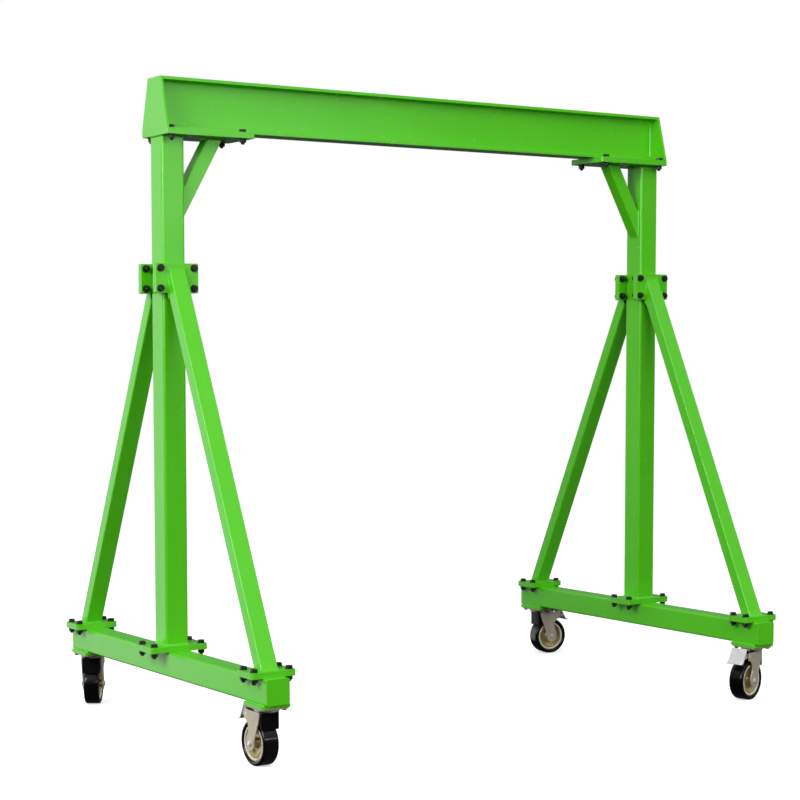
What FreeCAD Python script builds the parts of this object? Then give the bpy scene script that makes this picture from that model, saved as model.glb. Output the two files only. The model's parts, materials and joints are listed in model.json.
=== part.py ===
"""Portable gantry crane: an I-beam on two A-frames that stand on swivel casters with foot brakes.

Frame: millimetres, +Z up, X along the main beam, Y along the base beams, origin on the floor
at the centre of the crane. Left is -X, right is +X, front is -Y and rear is +Y.
"""
import FreeCAD, Part
import math
import os
import re
import Sketcher
from FreeCAD import Placement, Rotation, Vector

SIZES = {
    # main beam
    "beam_top": 2626,
    "beam_depth": 205,
    "beam_flange": 106,
    "beam_flange_wall": 12,
    "beam_web": 8,
    "beam_root": 9,
    "end_plate": 10,
    "end_plate_foot": 210,
    # frames
    "span": 2520,
    "beam_overhang": 56,
    "upright_size": 100,
    "tube_wall": 5,
    "tube_corner": 9,
    # joint plates under the beam
    "shoe_thick": 12,
    "head_thick": 12,
    "head_inward": 342,
    "head_wide": 216,
    "head_bolt_out": 26,
    "head_bolt_in": 298,
    "head_bolt_wide": 170,
    "bolt_hole": 18,
    # knee braces and side legs
    "leg_wide": 75,
    "leg_deep": 50,
    "knee_wide": 60,
    "knee_deep": 60,
    "brace_wall": 4,
    "knee_reach": 203,
    "knee_drop": 270,
    # collar that joins the legs to the upright
    "collar_height": 1836,
    "collar_wide": 190,
    "collar_deep": 118,
    "collar_bolt_wide": 150,
    "collar_bolt_deep": 80,
    "ear_thick": 12,
    "collar_thick": 12,
    "leg_lower": 19,
    # base beams and their pads
    "base_size": 100,
    "base_length": 1640,
    "cap_thick": 4,
    "pad_thick": 12,
    "foot_thick": 12,
    "plate_corner": 10,
    "leg_inset": 85,
    "leg_foot_wide": 192,
    "leg_foot_long": 116,
    "leg_bolt_wide": 152,
    "leg_bolt_long": 76,
    "post_foot_wide": 254,
    "post_foot_long": 140,
    "post_bolt_wide": 214,
    "post_bolt_long": 102,
    # casters
    "caster_inset": 82,
    "caster_headroom": 70,
    "caster_pad_thick": 12,
    "caster_pad_wide": 126,
    "caster_pad_long": 144,
    "caster_bolt_wide": 96,
    "caster_bolt_long": 92,
    "caster_bolt_hole": 13,
    "top_plate_thick": 6,
    "race_radius": 42,
    "race_drop": 14,
    "race_gap": 0.3,
    "kingpin": 16,
    "kingpin_nut": 26,
    "kingpin_nut_tall": 8,
    "fork_wall": 5,
    "fork_inside": 78,
    "fork_front": 14,
    "fork_rear": 95,
    "heel_above": 2,
    "fork_foot": 28,
    "front_angle": 20,
    "rear_angle": 4,
    "trail": 51,
    "wheel_size": 176,
    "tyre_wide": 66,
    "tyre_shoulder": 10,
    "tyre_deep": 19,
    "rim_wide": 58,
    "rim_wall": 5,
    "wheel_disc": 8,
    "hub_size": 46,
    "hub_wide": 77,
    "axle": 12,
    "axle_head": 20,
    "axle_head_tall": 8,
    "pin_clearance": 0.05,
    "shoe_gap": 6,
    "shoe_front": 23,
    "shoe_lip": 4,
    "shoe_drop": 24,
    "shoe_front_angle": 142,
    "shoe_rear_angle": 81,
    "pedal_pivot": 82,
    "pedal_above": 20,
    "pedal_pin": 8,
    "pedal_hub": 13,
    "pedal_wide": 66,
    "pedal_thick": 4,
    "tread_wide": 76,
    "pedal_near": 102,
    "pedal_far": 137,
    "tread_top_above": 55,
    "tread_foot_above": -9,
    "pedal_lip": 16,
    # way each caster trails at rest, in degrees from +X
    "heading_left_front": 90,
    "heading_left_rear": 56,
    "heading_right_front": 194,
    "heading_right_rear": -8,
}

SIDES = {"left": "-1", "right": "1"}
ENDS = {"front": "-1", "rear": "1"}

# Heights and places worked out from the sizes
BASE_BOTTOM = "(wheel_size + caster_headroom)"
BASE_TOP = f"({BASE_BOTTOM} + base_size)"
FOOT_BOTTOM = f"({BASE_TOP} + pad_thick)"
FRAME_BOTTOM = f"({FOOT_BOTTOM} + foot_thick)"
BEAM_BOTTOM = "(beam_top - beam_depth)"
HEAD_TOP = f"({BEAM_BOTTOM} - shoe_thick)"
HEAD_BOTTOM = f"({HEAD_TOP} - head_thick)"
BEAM_LENGTH = "(span + 2 * beam_overhang)"
EAR_FACE = "(upright_size / 2 + ear_thick)"
COLLAR_FACE = f"({EAR_FACE} + collar_thick)"
LEG_MEET = "(collar_height - leg_lower)"
LEG_PLACE = "(base_length / 2 - leg_inset)"
CASTER_PLACE = "(base_length / 2 - caster_inset)"
LEG_LEAN = f"atan(({LEG_PLACE} - {COLLAR_FACE}) / ({LEG_MEET} - {FRAME_BOTTOM}))"
KNEE_LEAN = "atan((knee_reach - upright_size / 2) / knee_drop)"
CASTER_TOP = f"({BASE_BOTTOM} - caster_pad_thick)"
RACE_TOP = f"({CASTER_TOP} - top_plate_thick)"
FORK_TOP = f"({RACE_TOP} - race_drop - race_gap)"
AXLE_HEIGHT = "(wheel_size / 2)"
RIM_SIZE = "(wheel_size - 2 * tyre_deep)"
FORK_HEEL = "(wheel_size + heel_above)"
PEDAL_HEIGHT = "(wheel_size + pedal_above)"
TREAD_TOP = "(wheel_size + tread_top_above)"
TREAD_FOOT = "(wheel_size + tread_foot_above)"

doc = FreeCAD.newDocument("GantryCrane")
sheet = doc.addObject("Spreadsheet::Sheet", "Sizes")
for row, (alias, value) in enumerate(SIZES.items(), start=1):
    sheet.set(f"A{row}", alias)
    sheet.set(f"B{row}", str(value))
    sheet.setAlias(f"B{row}", alias)
doc.recompute()

nodes = []


def bound(expression):
    """The expression with each size's name pointing into the sheet."""
    return re.sub(r"[a-z]\w*", lambda word: f"Sizes.{word[0]}" if word[0] in SIZES else word[0], expression)


def number(expression):
    return float(sheet.evalExpression(bound(expression)))


def body(label, x="0", y="0", z="0", turn=None):
    """A new named body, placed by expressions and turned about +Z by one."""
    made = doc.addObject("PartDesign::Body", label)
    made.Label = label
    made.AllowCompound = True
    if turn:
        made.Placement = Placement(Vector(), Rotation(Vector(0, 0, 1), 1))
        made.setExpression("Placement.Rotation.Angle", bound(turn))
    for axis, place in (("x", x), ("y", y), ("z", z)):
        made.setExpression(f"Placement.Base.{axis}", bound(place))
    nodes.append(made)
    return made


def sketch(owner, plane, across="0", up="0", out="0"):
    """A sketch on one of the body's own planes, shifted across, up and out from it."""
    made = owner.newObject("Sketcher::SketchObject", f"{owner.Name}_{plane}")
    support = next(item for item in owner.Origin.OriginFeatures if item.Role == f"{plane}_Plane")
    made.AttachmentSupport = [(support, "")]
    made.MapMode = "FlatFace"
    for axis, shift in (("x", across), ("y", up), ("z", out)):
        made.setExpression(f"AttachmentOffset.Base.{axis}", bound(shift))
    return made


def hold(drawing, kind, *items):
    """A dimension whose last item is an expression."""
    *where, expression = items
    index = drawing.addConstraint(Sketcher.Constraint(kind, *where, number(expression)))
    drawing.setExpression(f"Constraints[{index}]", bound(expression))


def pin_point(drawing, geometry, point, x, y):
    hold(drawing, "DistanceX", -1, 1, geometry, point, x)
    hold(drawing, "DistanceY", -1, 1, geometry, point, y)


def outline(drawing, corners):
    """A closed straight-sided outline through corners given as pairs of expressions."""
    points = [Vector(number(x), number(y), 0) for x, y in corners]
    following = points[1:] + points[:1]
    lines = [drawing.addGeometry(Part.LineSegment(a, b), False) for a, b in zip(points, following)]
    for line, next_line in zip(lines, lines[1:] + lines[:1]):
        drawing.addConstraint(Sketcher.Constraint("Coincident", line, 2, next_line, 1))
    for line, (x, y) in zip(lines, corners):
        pin_point(drawing, line, 1, x, y)


def rounded(drawing, x, y, wide, tall, radius):
    """A rectangle centred on x, y with rounded corners."""
    quarters = ((1, 1, 0), (-1, 1, 90), (-1, -1, 180), (1, -1, 270))
    size = number(radius)
    arcs = []
    for side, end, start in quarters:
        centre_x = f"{x} + {side} * ({wide} / 2 - {radius})"
        centre_y = f"{y} + {end} * ({tall} / 2 - {radius})"
        circle = Part.Circle(Vector(number(centre_x), number(centre_y), 0), Vector(0, 0, 1), size)
        first, last = math.radians(start), math.radians(start + 90)
        arc = drawing.addGeometry(Part.ArcOfCircle(circle, first, last), False)
        pin_point(drawing, arc, 3, centre_x, centre_y)
        hold(drawing, "Radius", arc, radius)
        arcs.append(arc)
    for arc, next_arc in zip(arcs, arcs[1:] + arcs[:1]):
        begin = drawing.Geometry[arc].EndPoint
        finish = drawing.Geometry[next_arc].StartPoint
        line = drawing.addGeometry(Part.LineSegment(begin, finish), False)
        drawing.addConstraint(Sketcher.Constraint("Tangent", arc, 2, line, 1))
        drawing.addConstraint(Sketcher.Constraint("Tangent", line, 2, next_arc, 1))


def circle(drawing, x, y, diameter):
    centre = Vector(number(x), number(y), 0)
    ring = drawing.addGeometry(Part.Circle(centre, Vector(0, 0, 1), number(diameter) / 2), False)
    pin_point(drawing, ring, 3, x, y)
    hold(drawing, "Diameter", ring, diameter)


def four_circles(drawing, x, y, wide, tall, diameter):
    for side in (-1, 1):
        for end in (-1, 1):
            circle(drawing, f"{x} + {side} * {wide} / 2", f"{y} + {end} * {tall} / 2", diameter)


def pad(owner, drawing, length, symmetric=False):
    made = owner.newObject("PartDesign::Pad", f"{owner.Name}_pad")
    made.Profile = drawing
    made.SideType = "Symmetric" if symmetric else "One side"
    made.setExpression("Length", bound(length))
    return made


def pocket(owner, drawing, length):
    """A cut of this length, half to each side of its sketch."""
    made = owner.newObject("PartDesign::Pocket", f"{owner.Name}_pocket")
    made.Profile = drawing
    made.SideType = "Symmetric"
    made.setExpression("Length", bound(length))
    return made


def revolve(owner, drawing, axis):
    made = owner.newObject("PartDesign::Revolution", f"{owner.Name}_turned")
    made.Profile = drawing
    made.ReferenceAxis = (drawing, [axis])
    made.Angle = 360
    return made


def fillet(owner, base, radius, wanted):
    """Round the edges of a feature that the test picks."""
    doc.recompute()
    edges = [f"Edge{i}" for i, edge in enumerate(base.Shape.Edges, start=1) if wanted(edge)]
    made = owner.newObject("PartDesign::Fillet", f"{owner.Name}_fillet")
    made.Base = (base, edges)
    made.setExpression("Radius", bound(radius))
    return made


def runs_along(edge, direction):
    """True for a straight edge parallel to a direction."""
    if not isinstance(edge.Curve, Part.Line):
        return False
    return abs(edge.Curve.Direction.dot(direction)) > 0.999


def main_beam():
    """The I-beam: narrow flanges, a thin web and rounded roots."""
    beam = body("main_beam", z=f"{BEAM_BOTTOM} + beam_depth / 2")
    profile = sketch(beam, "YZ")
    out, web = "beam_flange / 2", "beam_web / 2"
    top, under = "beam_depth / 2", "(beam_depth / 2 - beam_flange_wall)"
    half = [(out, f"-{under}"), (web, f"-{under}"), (web, under), (out, under), (out, top)]
    other = [(f"-1 * {x}", f"-1 * {y}") for x, y in half]
    outline(profile, [(out, f"-1 * {top}")] + half + [(f"-1 * {out}", top)] + other)
    length = f"{BEAM_LENGTH} - 2 * end_plate"
    solid = pad(beam, profile, length, symmetric=True)
    root = number(web)

    def is_root(edge):
        return runs_along(edge, Vector(1, 0, 0)) and abs(abs(edge.CenterOfMass.y) - root) < 0.01

    fillet(beam, solid, "beam_root", is_root)


def beam_end_plates():
    """A plate at each beam end, wider at the foot than at the top."""
    plates = body("beam_end_plates", z=BEAM_BOTTOM)
    for sign in SIDES.values():
        profile = sketch(plates, "YZ", out=f"{sign} * ({BEAM_LENGTH} / 2 - end_plate / 2)")
        foot, top = "end_plate_foot / 2", "beam_flange / 2"
        corners = [(f"-1 * {foot}", "0.0"), (foot, "0.0"), (top, "beam_depth"), (f"-1 * {top}", "beam_depth")]
        outline(profile, corners)
        pad(plates, profile, "end_plate", symmetric=True)


def joint_plates(label, height, thickness):
    """A bolted plate at each end of the beam, reaching in over the knee brace."""
    plates = body(label, z=height)
    profile = sketch(plates, "XY")
    for sign in SIDES.values():
        middle = f"{sign} * (span / 2 + beam_overhang / 2 - head_inward / 2)"
        bolts = f"{sign} * (span / 2 + head_bolt_out / 2 - head_bolt_in / 2)"
        rounded(profile, middle, "0", "(beam_overhang + head_inward)", "head_wide", "plate_corner / 2")
        four_circles(profile, bolts, "0", "(head_bolt_out + head_bolt_in)", "head_bolt_wide", "bolt_hole")
    pad(plates, profile, thickness)


def upright(side, sign):
    """One straight square tube from the base's foot plate to the head plate."""
    tube = body(f"{side}_upright", x=f"{sign} * span / 2", z=FRAME_BOTTOM)
    profile = sketch(tube, "XY")
    inside = "(upright_size - 2 * tube_wall)"
    rounded(profile, "0", "0", "upright_size", "upright_size", "tube_corner")
    rounded(profile, "0", "0", inside, inside, "(tube_corner - tube_wall)")
    pad(tube, profile, f"{HEAD_BOTTOM} - {FRAME_BOTTOM}")


def slanted_tube(owner, plane, section, deep, wide, direction):
    """A rectangular tube drawn from its side, with rounded long edges and open ends."""
    profile = sketch(owner, plane)
    outline(profile, section(deep))
    solid = pad(owner, profile, wide, symmetric=True)
    fillet(owner, solid, "(brace_wall + 1)", lambda edge: runs_along(edge, direction))
    hollow = sketch(owner, plane)
    outline(hollow, section(f"({deep} - 2 * brace_wall)"))
    pocket(owner, hollow, f"{wide} - 2 * brace_wall")


def knee_brace(side, sign):
    """From the upright's inner face up to the head plate."""
    brace = body(f"{side}_knee_brace", x=f"{sign} * span / 2", z=HEAD_BOTTOM)
    inward = f"-1 * {sign}"
    face = "upright_size / 2"

    def section(depth):
        half_wide = f"{depth} / 2 / cos({KNEE_LEAN})"
        half_tall = f"{depth} / 2 / sin({KNEE_LEAN})"
        return [
            (f"{inward} * (knee_reach - {half_wide})", "0.0"),
            (f"{inward} * (knee_reach + {half_wide})", "0.0"),
            (f"{inward} * {face}", f"-1 * (knee_drop + {half_tall})"),
            (f"{inward} * {face}", f"-1 * (knee_drop - {half_tall})"),
        ]

    lean = number(KNEE_LEAN)
    along = Rotation(Vector(0, 1, 0), -float(sign) * lean).multVec(Vector(0, 0, 1))
    slanted_tube(brace, "XZ", section, "knee_deep", "knee_wide", along)


def side_leg(side, sign, end, way):
    """From a foot plate on the base beam up to the collar, its head cut upright."""
    leg = body(f"{side}_{end}_leg", x=f"{sign} * span / 2")

    def section(depth):
        half_wide = f"{depth} / 2 / cos({LEG_LEAN})"
        half_tall = f"{depth} / 2 / sin({LEG_LEAN})"
        return [
            (f"{way} * ({LEG_PLACE} - {half_wide})", FRAME_BOTTOM),
            (f"{way} * ({LEG_PLACE} + {half_wide})", FRAME_BOTTOM),
            (f"{way} * {COLLAR_FACE}", f"{LEG_MEET} + {half_tall}"),
            (f"{way} * {COLLAR_FACE}", f"{LEG_MEET} - {half_tall}"),
        ]

    lean = number(LEG_LEAN)
    along = Rotation(Vector(1, 0, 0), float(way) * lean).multVec(Vector(0, 0, 1))
    slanted_tube(leg, "YZ", section, "leg_deep", "leg_wide", along)


def collar_plates(label, near_face, thickness):
    """Four bolted plates, one in front of and one behind each upright."""
    plates = body(label, z="collar_height")
    for way in ENDS.values():
        middle = f"-1 * {way} * ({near_face} + {thickness} / 2)"
        profile = sketch(plates, "XZ", out=middle)
        for sign in SIDES.values():
            centre = f"{sign} * span / 2"
            rounded(profile, centre, "0", "collar_wide", "collar_deep", "plate_corner / 2")
            four_circles(profile, centre, "0", "collar_bolt_wide", "collar_bolt_deep", "bolt_hole")
        pad(plates, profile, thickness, symmetric=True)


def seat_plates(label, height, thickness):
    """The three bolted seats along each base beam: a leg, the upright and a leg."""
    plates = body(label, z=height)
    profile = sketch(plates, "XY")
    for sign in SIDES.values():
        centre = f"{sign} * span / 2"
        rounded(profile, centre, "0", "post_foot_wide", "post_foot_long", "plate_corner")
        four_circles(profile, centre, "0", "post_bolt_wide", "post_bolt_long", "bolt_hole")
        for way in ENDS.values():
            place = f"{way} * {LEG_PLACE}"
            rounded(profile, centre, place, "leg_foot_wide", "leg_foot_long", "plate_corner")
            four_circles(profile, centre, place, "leg_bolt_wide", "leg_bolt_long", "bolt_hole")
    pad(plates, profile, thickness)


def base_beam(side, sign):
    """A square tube along Y between its end caps."""
    tube = body(f"{side}_base_beam", x=f"{sign} * span / 2", z=f"{BASE_BOTTOM} + base_size / 2")
    profile = sketch(tube, "XZ")
    inside = "(base_size - 2 * tube_wall)"
    rounded(profile, "0", "0", "base_size", "base_size", "tube_corner")
    rounded(profile, "0", "0", inside, inside, "(tube_corner - tube_wall)")
    pad(tube, profile, "base_length - 2 * cap_thick", symmetric=True)


def base_end_caps():
    caps = body("base_end_caps", z=f"{BASE_BOTTOM} + base_size / 2")
    for way in ENDS.values():
        profile = sketch(caps, "XZ", out=f"-1 * {way} * (base_length / 2 - cap_thick / 2)")
        for sign in SIDES.values():
            rounded(profile, f"{sign} * span / 2", "0", "base_size", "base_size", "tube_corner")
        pad(caps, profile, "cap_thick", symmetric=True)


def caster_seats(label, height, thickness, wide, long):
    """Four plates, one over each caster's stem, in one body."""
    plates = body(label, z=height)
    profile = sketch(plates, "XY")
    for sign in SIDES.values():
        for way in ENDS.values():
            x, y = f"{sign} * span / 2", f"{way} * {CASTER_PLACE}"
            rounded(profile, x, y, wide, long, "plate_corner")
            four_circles(profile, x, y, "caster_bolt_wide", "caster_bolt_long", "caster_bolt_hole")
    pad(plates, profile, thickness)
    return plates


def caster_top_plates():
    """Each top plate with the fixed half of its swivel race, its kingpin and the nut below."""
    wide, long = "(caster_pad_wide - plate_corner)", "(caster_pad_long - plate_corner)"
    plates = caster_seats("caster_top_plates", RACE_TOP, "top_plate_thick", wide, long)
    nut_top = "(race_drop + 2 * race_gap + fork_wall)"
    steps = (
        ("race_radius * 2", "race_drop"),
        ("kingpin", f"{nut_top} + kingpin_nut_tall"),
    )
    for diameter, depth in steps:
        profile = sketch(plates, "XY")
        for sign in SIDES.values():
            for way in ENDS.values():
                circle(profile, f"{sign} * span / 2", f"{way} * {CASTER_PLACE}", diameter)
        pad(plates, profile, depth).Reversed = True
    nuts = sketch(plates, "XY", out=f"-1 * {nut_top}")
    for sign in SIDES.values():
        for way in ENDS.values():
            circle(nuts, f"{sign} * span / 2", f"{way} * {CASTER_PLACE}", "kingpin_nut")
    pad(plates, nuts, "kingpin_nut_tall").Reversed = True


def caster_body(corner, piece, sign, way):
    return body(
        f"{corner}_caster_{piece}",
        x=f"{sign} * span / 2",
        y=f"{way} * {CASTER_PLACE}",
        turn=f"heading_{corner}",
    )


def caster_fork(corner, sign, way):
    """A crown under the race and two cheeks that reach back and down to the axle."""
    fork = caster_body(corner, "fork", sign, way)
    outside = "(fork_inside + 2 * fork_wall)"
    crown_under = f"({FORK_TOP} - fork_wall)"
    cheeks = sketch(fork, "XZ")
    corners = [
        ("-1 * fork_front", FORK_TOP),
        ("-1 * fork_front", f"{FORK_TOP} - 3 * fork_wall"),
        ("trail - fork_foot * cos(front_angle)", f"{AXLE_HEIGHT} + fork_foot * sin(front_angle)"),
        ("trail + fork_foot * cos(rear_angle)", f"{AXLE_HEIGHT} + fork_foot * sin(rear_angle)"),
        ("fork_rear", FORK_HEEL),
        ("fork_rear", FORK_TOP),
    ]
    outline(cheeks, corners)
    pad(fork, cheeks, outside, symmetric=True)
    foot = sketch(fork, "XZ")
    circle(foot, "trail", AXLE_HEIGHT, "2 * fork_foot")
    pad(fork, foot, outside, symmetric=True)
    gap = sketch(fork, "XZ")
    front, rear = "-2 * race_radius", "2 * fork_rear"
    outline(gap, [(front, crown_under), (rear, crown_under), (rear, "0.0"), (front, "0.0")])
    pocket(fork, gap, "fork_inside")
    crown = sketch(fork, "XY", out=crown_under)
    circle(crown, "0", "0", "race_radius * 2")
    pad(fork, crown, "fork_wall")
    rear_cut = sketch(fork, "XY", out=FORK_TOP)
    half = "fork_inside / 2"
    rear_edge = "race_radius + fork_wall"
    back = "fork_rear + fork_wall"
    outline(rear_cut, [(rear_edge, half), (rear_edge, f"-1 * {half}"), (back, f"-1 * {half}"), (back, half)])
    pocket(fork, rear_cut, "4 * fork_wall")
    pin_hole = sketch(fork, "XY", out=FORK_TOP)
    circle(pin_hole, "0", "0", "kingpin + 2 * race_gap")
    pocket(fork, pin_hole, "4 * fork_wall")
    holes = sketch(fork, "XZ")
    circle(holes, "trail", AXLE_HEIGHT, "axle + 2 * pin_clearance")
    circle(holes, "pedal_pivot", PEDAL_HEIGHT, "pedal_pin + 2 * pin_clearance")
    pocket(fork, holes, f"2 * {outside}")


def caster_axle(corner, sign, way):
    """The axle bolt: a shank with a round head at each end."""
    axle = caster_body(corner, "axle", sign, way)
    outside = "(fork_inside + 2 * fork_wall)"
    shank = sketch(axle, "XZ")
    circle(shank, "trail", AXLE_HEIGHT, "axle")
    pad(axle, shank, outside, symmetric=True)
    for turn in ("-1", "1"):
        head = sketch(axle, "XZ", out=f"{turn} * ({outside} / 2 + axle_head_tall / 2)")
        circle(head, "trail", AXLE_HEIGHT, "axle_head")
        pad(axle, head, "axle_head_tall", symmetric=True)


def axle_section(owner):
    """A sketch across the wheel whose own X axis is the axle."""
    return sketch(owner, "YZ", up=AXLE_HEIGHT, out="trail")


def caster_wheel(corner, sign, way):
    """Hub, disc and a rim whose lips hold the tyre."""
    wheel = caster_body(corner, "wheel", sign, way)
    profile = axle_section(wheel)
    bore, hub, rim = "(axle / 2 + pin_clearance)", "hub_size / 2", f"{RIM_SIZE} / 2"
    seat = f"({rim} - rim_wall)"
    right = [
        ("hub_wide / 2", bore),
        ("hub_wide / 2", hub),
        ("wheel_disc / 2", hub),
        ("wheel_disc / 2", seat),
        ("rim_wide / 2", seat),
        ("rim_wide / 2", rim),
    ]
    left = [(f"-1 * ({x})", y) for x, y in reversed(right)]
    outline(profile, right + left)
    revolve(wheel, profile, "H_Axis")


def caster_tyre(corner, sign, way):
    tyre = caster_body(corner, "tyre", sign, way)
    profile = axle_section(tyre)
    inner, outer = f"{RIM_SIZE} / 2", "wheel_size / 2"
    edge = "tyre_wide / 2"
    right = [
        ("rim_wide / 2", inner),
        (edge, f"{inner} + tyre_shoulder / 2"),
        (edge, f"{outer} - tyre_shoulder"),
        (f"{edge} - tyre_shoulder / 3", f"{outer} - tyre_shoulder / 3"),
        (f"{edge} - tyre_shoulder", outer),
    ]
    left = [(f"-1 * ({x})", y) for x, y in reversed(right)]
    outline(profile, right + left)
    revolve(tyre, profile, "H_Axis")


def caster_pedal(corner, sign, way):
    """A brake pedal: a barrel on a pin between the cheeks, a strap and a steep tread plate with a lip."""
    pedal = caster_body(corner, "brake_pedal", sign, way)
    barrel = sketch(pedal, "XZ")
    circle(barrel, "pedal_pivot", PEDAL_HEIGHT, "pedal_hub")
    pad(pedal, barrel, "pedal_wide", symmetric=True)
    slope = f"(pedal_far - pedal_near) / ({TREAD_TOP} - {TREAD_FOOT})"
    slant = f"pedal_thick / cos(atan({slope}))"
    strap = sketch(pedal, "XZ")
    top, bottom = f"({PEDAL_HEIGHT} + pedal_thick / 2)", f"({PEDAL_HEIGHT} - pedal_thick / 2)"
    strap_end = f"(pedal_near + {slope} * ({TREAD_TOP} - {PEDAL_HEIGHT}) + {slant} / 2)"
    outline(strap, [("pedal_pivot", bottom), (strap_end, bottom), (strap_end, top), ("pedal_pivot", top)])
    pad(pedal, strap, "pedal_wide", symmetric=True)
    tread = sketch(pedal, "XZ")
    lip_end = "(pedal_far + pedal_lip)"
    corners = [
        ("pedal_near", TREAD_TOP),
        ("pedal_far", TREAD_FOOT),
        (lip_end, TREAD_FOOT),
        (lip_end, f"{TREAD_FOOT} + pedal_thick"),
        (f"pedal_far + {slant}", f"{TREAD_FOOT} + pedal_thick"),
        (f"pedal_near + {slant}", TREAD_TOP),
    ]
    outline(tread, corners)
    pad(pedal, tread, "tread_wide", symmetric=True)
    pin = sketch(pedal, "XZ")
    circle(pin, "pedal_pivot", PEDAL_HEIGHT, "pedal_pin")
    pad(pedal, pin, "fork_inside + 2 * fork_wall", symmetric=True)


def brake_shoe(corner, sign, way):
    """A black guard between the cheeks that follows the tyre and closes the fork's front."""
    shoe = caster_body(corner, "brake_shoe", sign, way)
    profile = sketch(shoe, "XZ")
    reach = f"({AXLE_HEIGHT} + shoe_gap)"
    steps = range(5)
    angles = [f"(shoe_front_angle + (shoe_rear_angle - shoe_front_angle) * {step} / 4)" for step in steps]
    curve = [(f"trail + {reach} * cos({a})", f"{AXLE_HEIGHT} + {reach} * sin({a})") for a in angles]
    top, back = f"({FORK_TOP} - fork_wall)", f"({FORK_TOP} - shoe_drop)"
    lip = "(shoe_lip - shoe_front)"
    edge = [(curve[-1][0], back), (lip, back), (lip, top), (curve[0][0], top)]
    outline(profile, curve + edge)
    pad(shoe, profile, "fork_inside", symmetric=True)


def caster(corner, sign, way):
    caster_fork(corner, sign, way)
    brake_shoe(corner, sign, way)
    caster_axle(corner, sign, way)
    caster_wheel(corner, sign, way)
    caster_tyre(corner, sign, way)
    caster_pedal(corner, sign, way)


def build():
    main_beam()
    beam_end_plates()
    joint_plates("beam_shoe_plates", HEAD_TOP, "shoe_thick")
    joint_plates("head_plates", HEAD_BOTTOM, "head_thick")
    collar_plates("upright_ears", "upright_size / 2", "ear_thick")
    collar_plates("leg_head_plates", EAR_FACE, "collar_thick")
    seat_plates("foot_plates", FOOT_BOTTOM, "foot_thick")
    seat_plates("base_pads", BASE_TOP, "pad_thick")
    base_end_caps()
    caster_seats("caster_pads", CASTER_TOP, "caster_pad_thick", "caster_pad_wide", "caster_pad_long")
    caster_top_plates()
    for side, sign in SIDES.items():
        upright(side, sign)
        knee_brace(side, sign)
        base_beam(side, sign)
        for end, way in ENDS.items():
            side_leg(side, sign, end, way)
            caster(f"{side}_{end}", sign, way)
    doc.recompute()


def check():
    """Stop on a failed feature or a bad shape before anything is written."""
    for item in doc.Objects:
        if "Invalid" in item.State or "Error" in item.State:
            raise RuntimeError(f"{item.Label} failed: {item.State}")
    for node in nodes:
        if node.Shape.isNull() or not node.Shape.isValid():
            raise RuntimeError(f"{node.Label} has no valid shape")


def write():
    os.makedirs("parts", exist_ok=True)
    for node in nodes:
        node.Shape.exportStep(f"parts/{node.Label}.step")


build()
check()
write()
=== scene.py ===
"""Looks for the portable gantry crane: paint, fasteners, welds, casters, light and camera.

Metres, in the CAD's frame. Sizes below named in millimetres are turned to metres by MM.
"""
import json
import math

import bmesh
import bpy
from mathutils import Matrix, Vector, noise


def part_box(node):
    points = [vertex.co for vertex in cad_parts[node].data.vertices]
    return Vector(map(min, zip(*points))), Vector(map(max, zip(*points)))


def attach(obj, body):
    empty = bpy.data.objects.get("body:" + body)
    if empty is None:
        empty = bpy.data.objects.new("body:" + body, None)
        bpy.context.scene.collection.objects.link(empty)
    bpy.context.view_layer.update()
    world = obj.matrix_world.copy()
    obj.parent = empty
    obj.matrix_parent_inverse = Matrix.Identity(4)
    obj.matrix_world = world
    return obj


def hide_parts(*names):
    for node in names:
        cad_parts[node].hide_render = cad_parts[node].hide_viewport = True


MM = 0.001
SIDES = {"left": -1, "right": 1}
ENDS = {"front": -1, "rear": 1}
CORNERS = [f"{side}_{end}" for side in SIDES for end in ENDS]

# studio: distance of the white surround, and soft patches of light in the surroundings, each a
# direction, the cosines where it starts and is full, and its brightness
WALL = 30
SKY = (
    ((0, 0, 1), -0.05, 0.9, 0.75),
    ((-0.34, 0.94, 0), 0.90, 0.985, 1.7),
    ((1, -0.2, 0.1), -1, 1, 0.10),
)

# bolt layout, as drilled in the plates (millimetres)
HEAD_BOLTS = ((26, -298), (85, -85))
COLLAR_BOLTS = ((75, -75), (40, -40))
POST_BOLTS = ((107, -107), (51, -51))
LEG_BOLTS = ((76, -76), (38, -38))
CASTER_BOLTS = ((48, -48), (46, -46))

# frame (millimetres): half the upright's width, the leg foot's place along the base, the knee brace's
# reach and drop from the upright's middle and face, and the weld's drop below the collar's middle
POST_HALF = 50
LEG_FOOT = 735
KNEE_REACH, KNEE_DROP = 203, 270
COLLAR_WELD_DROP = 19

# casters (millimetres): the axle's and the pedal pin's places from the stem on the floor, radii, half
# widths along the axle, and the core's section as steps in from the rim's outer corner
TRAIL, AXLE_UP, AXLE_HOLE = 51, 88, 6.1
PIN_OUT, PIN_UP, PIN_HOLE = 82, 196, 4.1
RIM, RIM_HALF, TYRE_HALF = 69, 29, 33
HUB, HUB_HALF, CHEEK_OUT, CHEEK_IN = 17, 38.5, 44, 39
RIM_LIP = ((0, 1.5), (1.2, 0.2), (3, -0.8), (6.5, -0.8), (8.2, 0.6), (8.6, 3), (7.5, 8))
DISH = ((7.2, 8.5), (10, 10), (12, 9), (13, 5), (15, 4.2), (18, 6), (24, 11.5), (31, 15), (40, 16.5),
        (47, 15.5), (50.5, 12))

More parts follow.
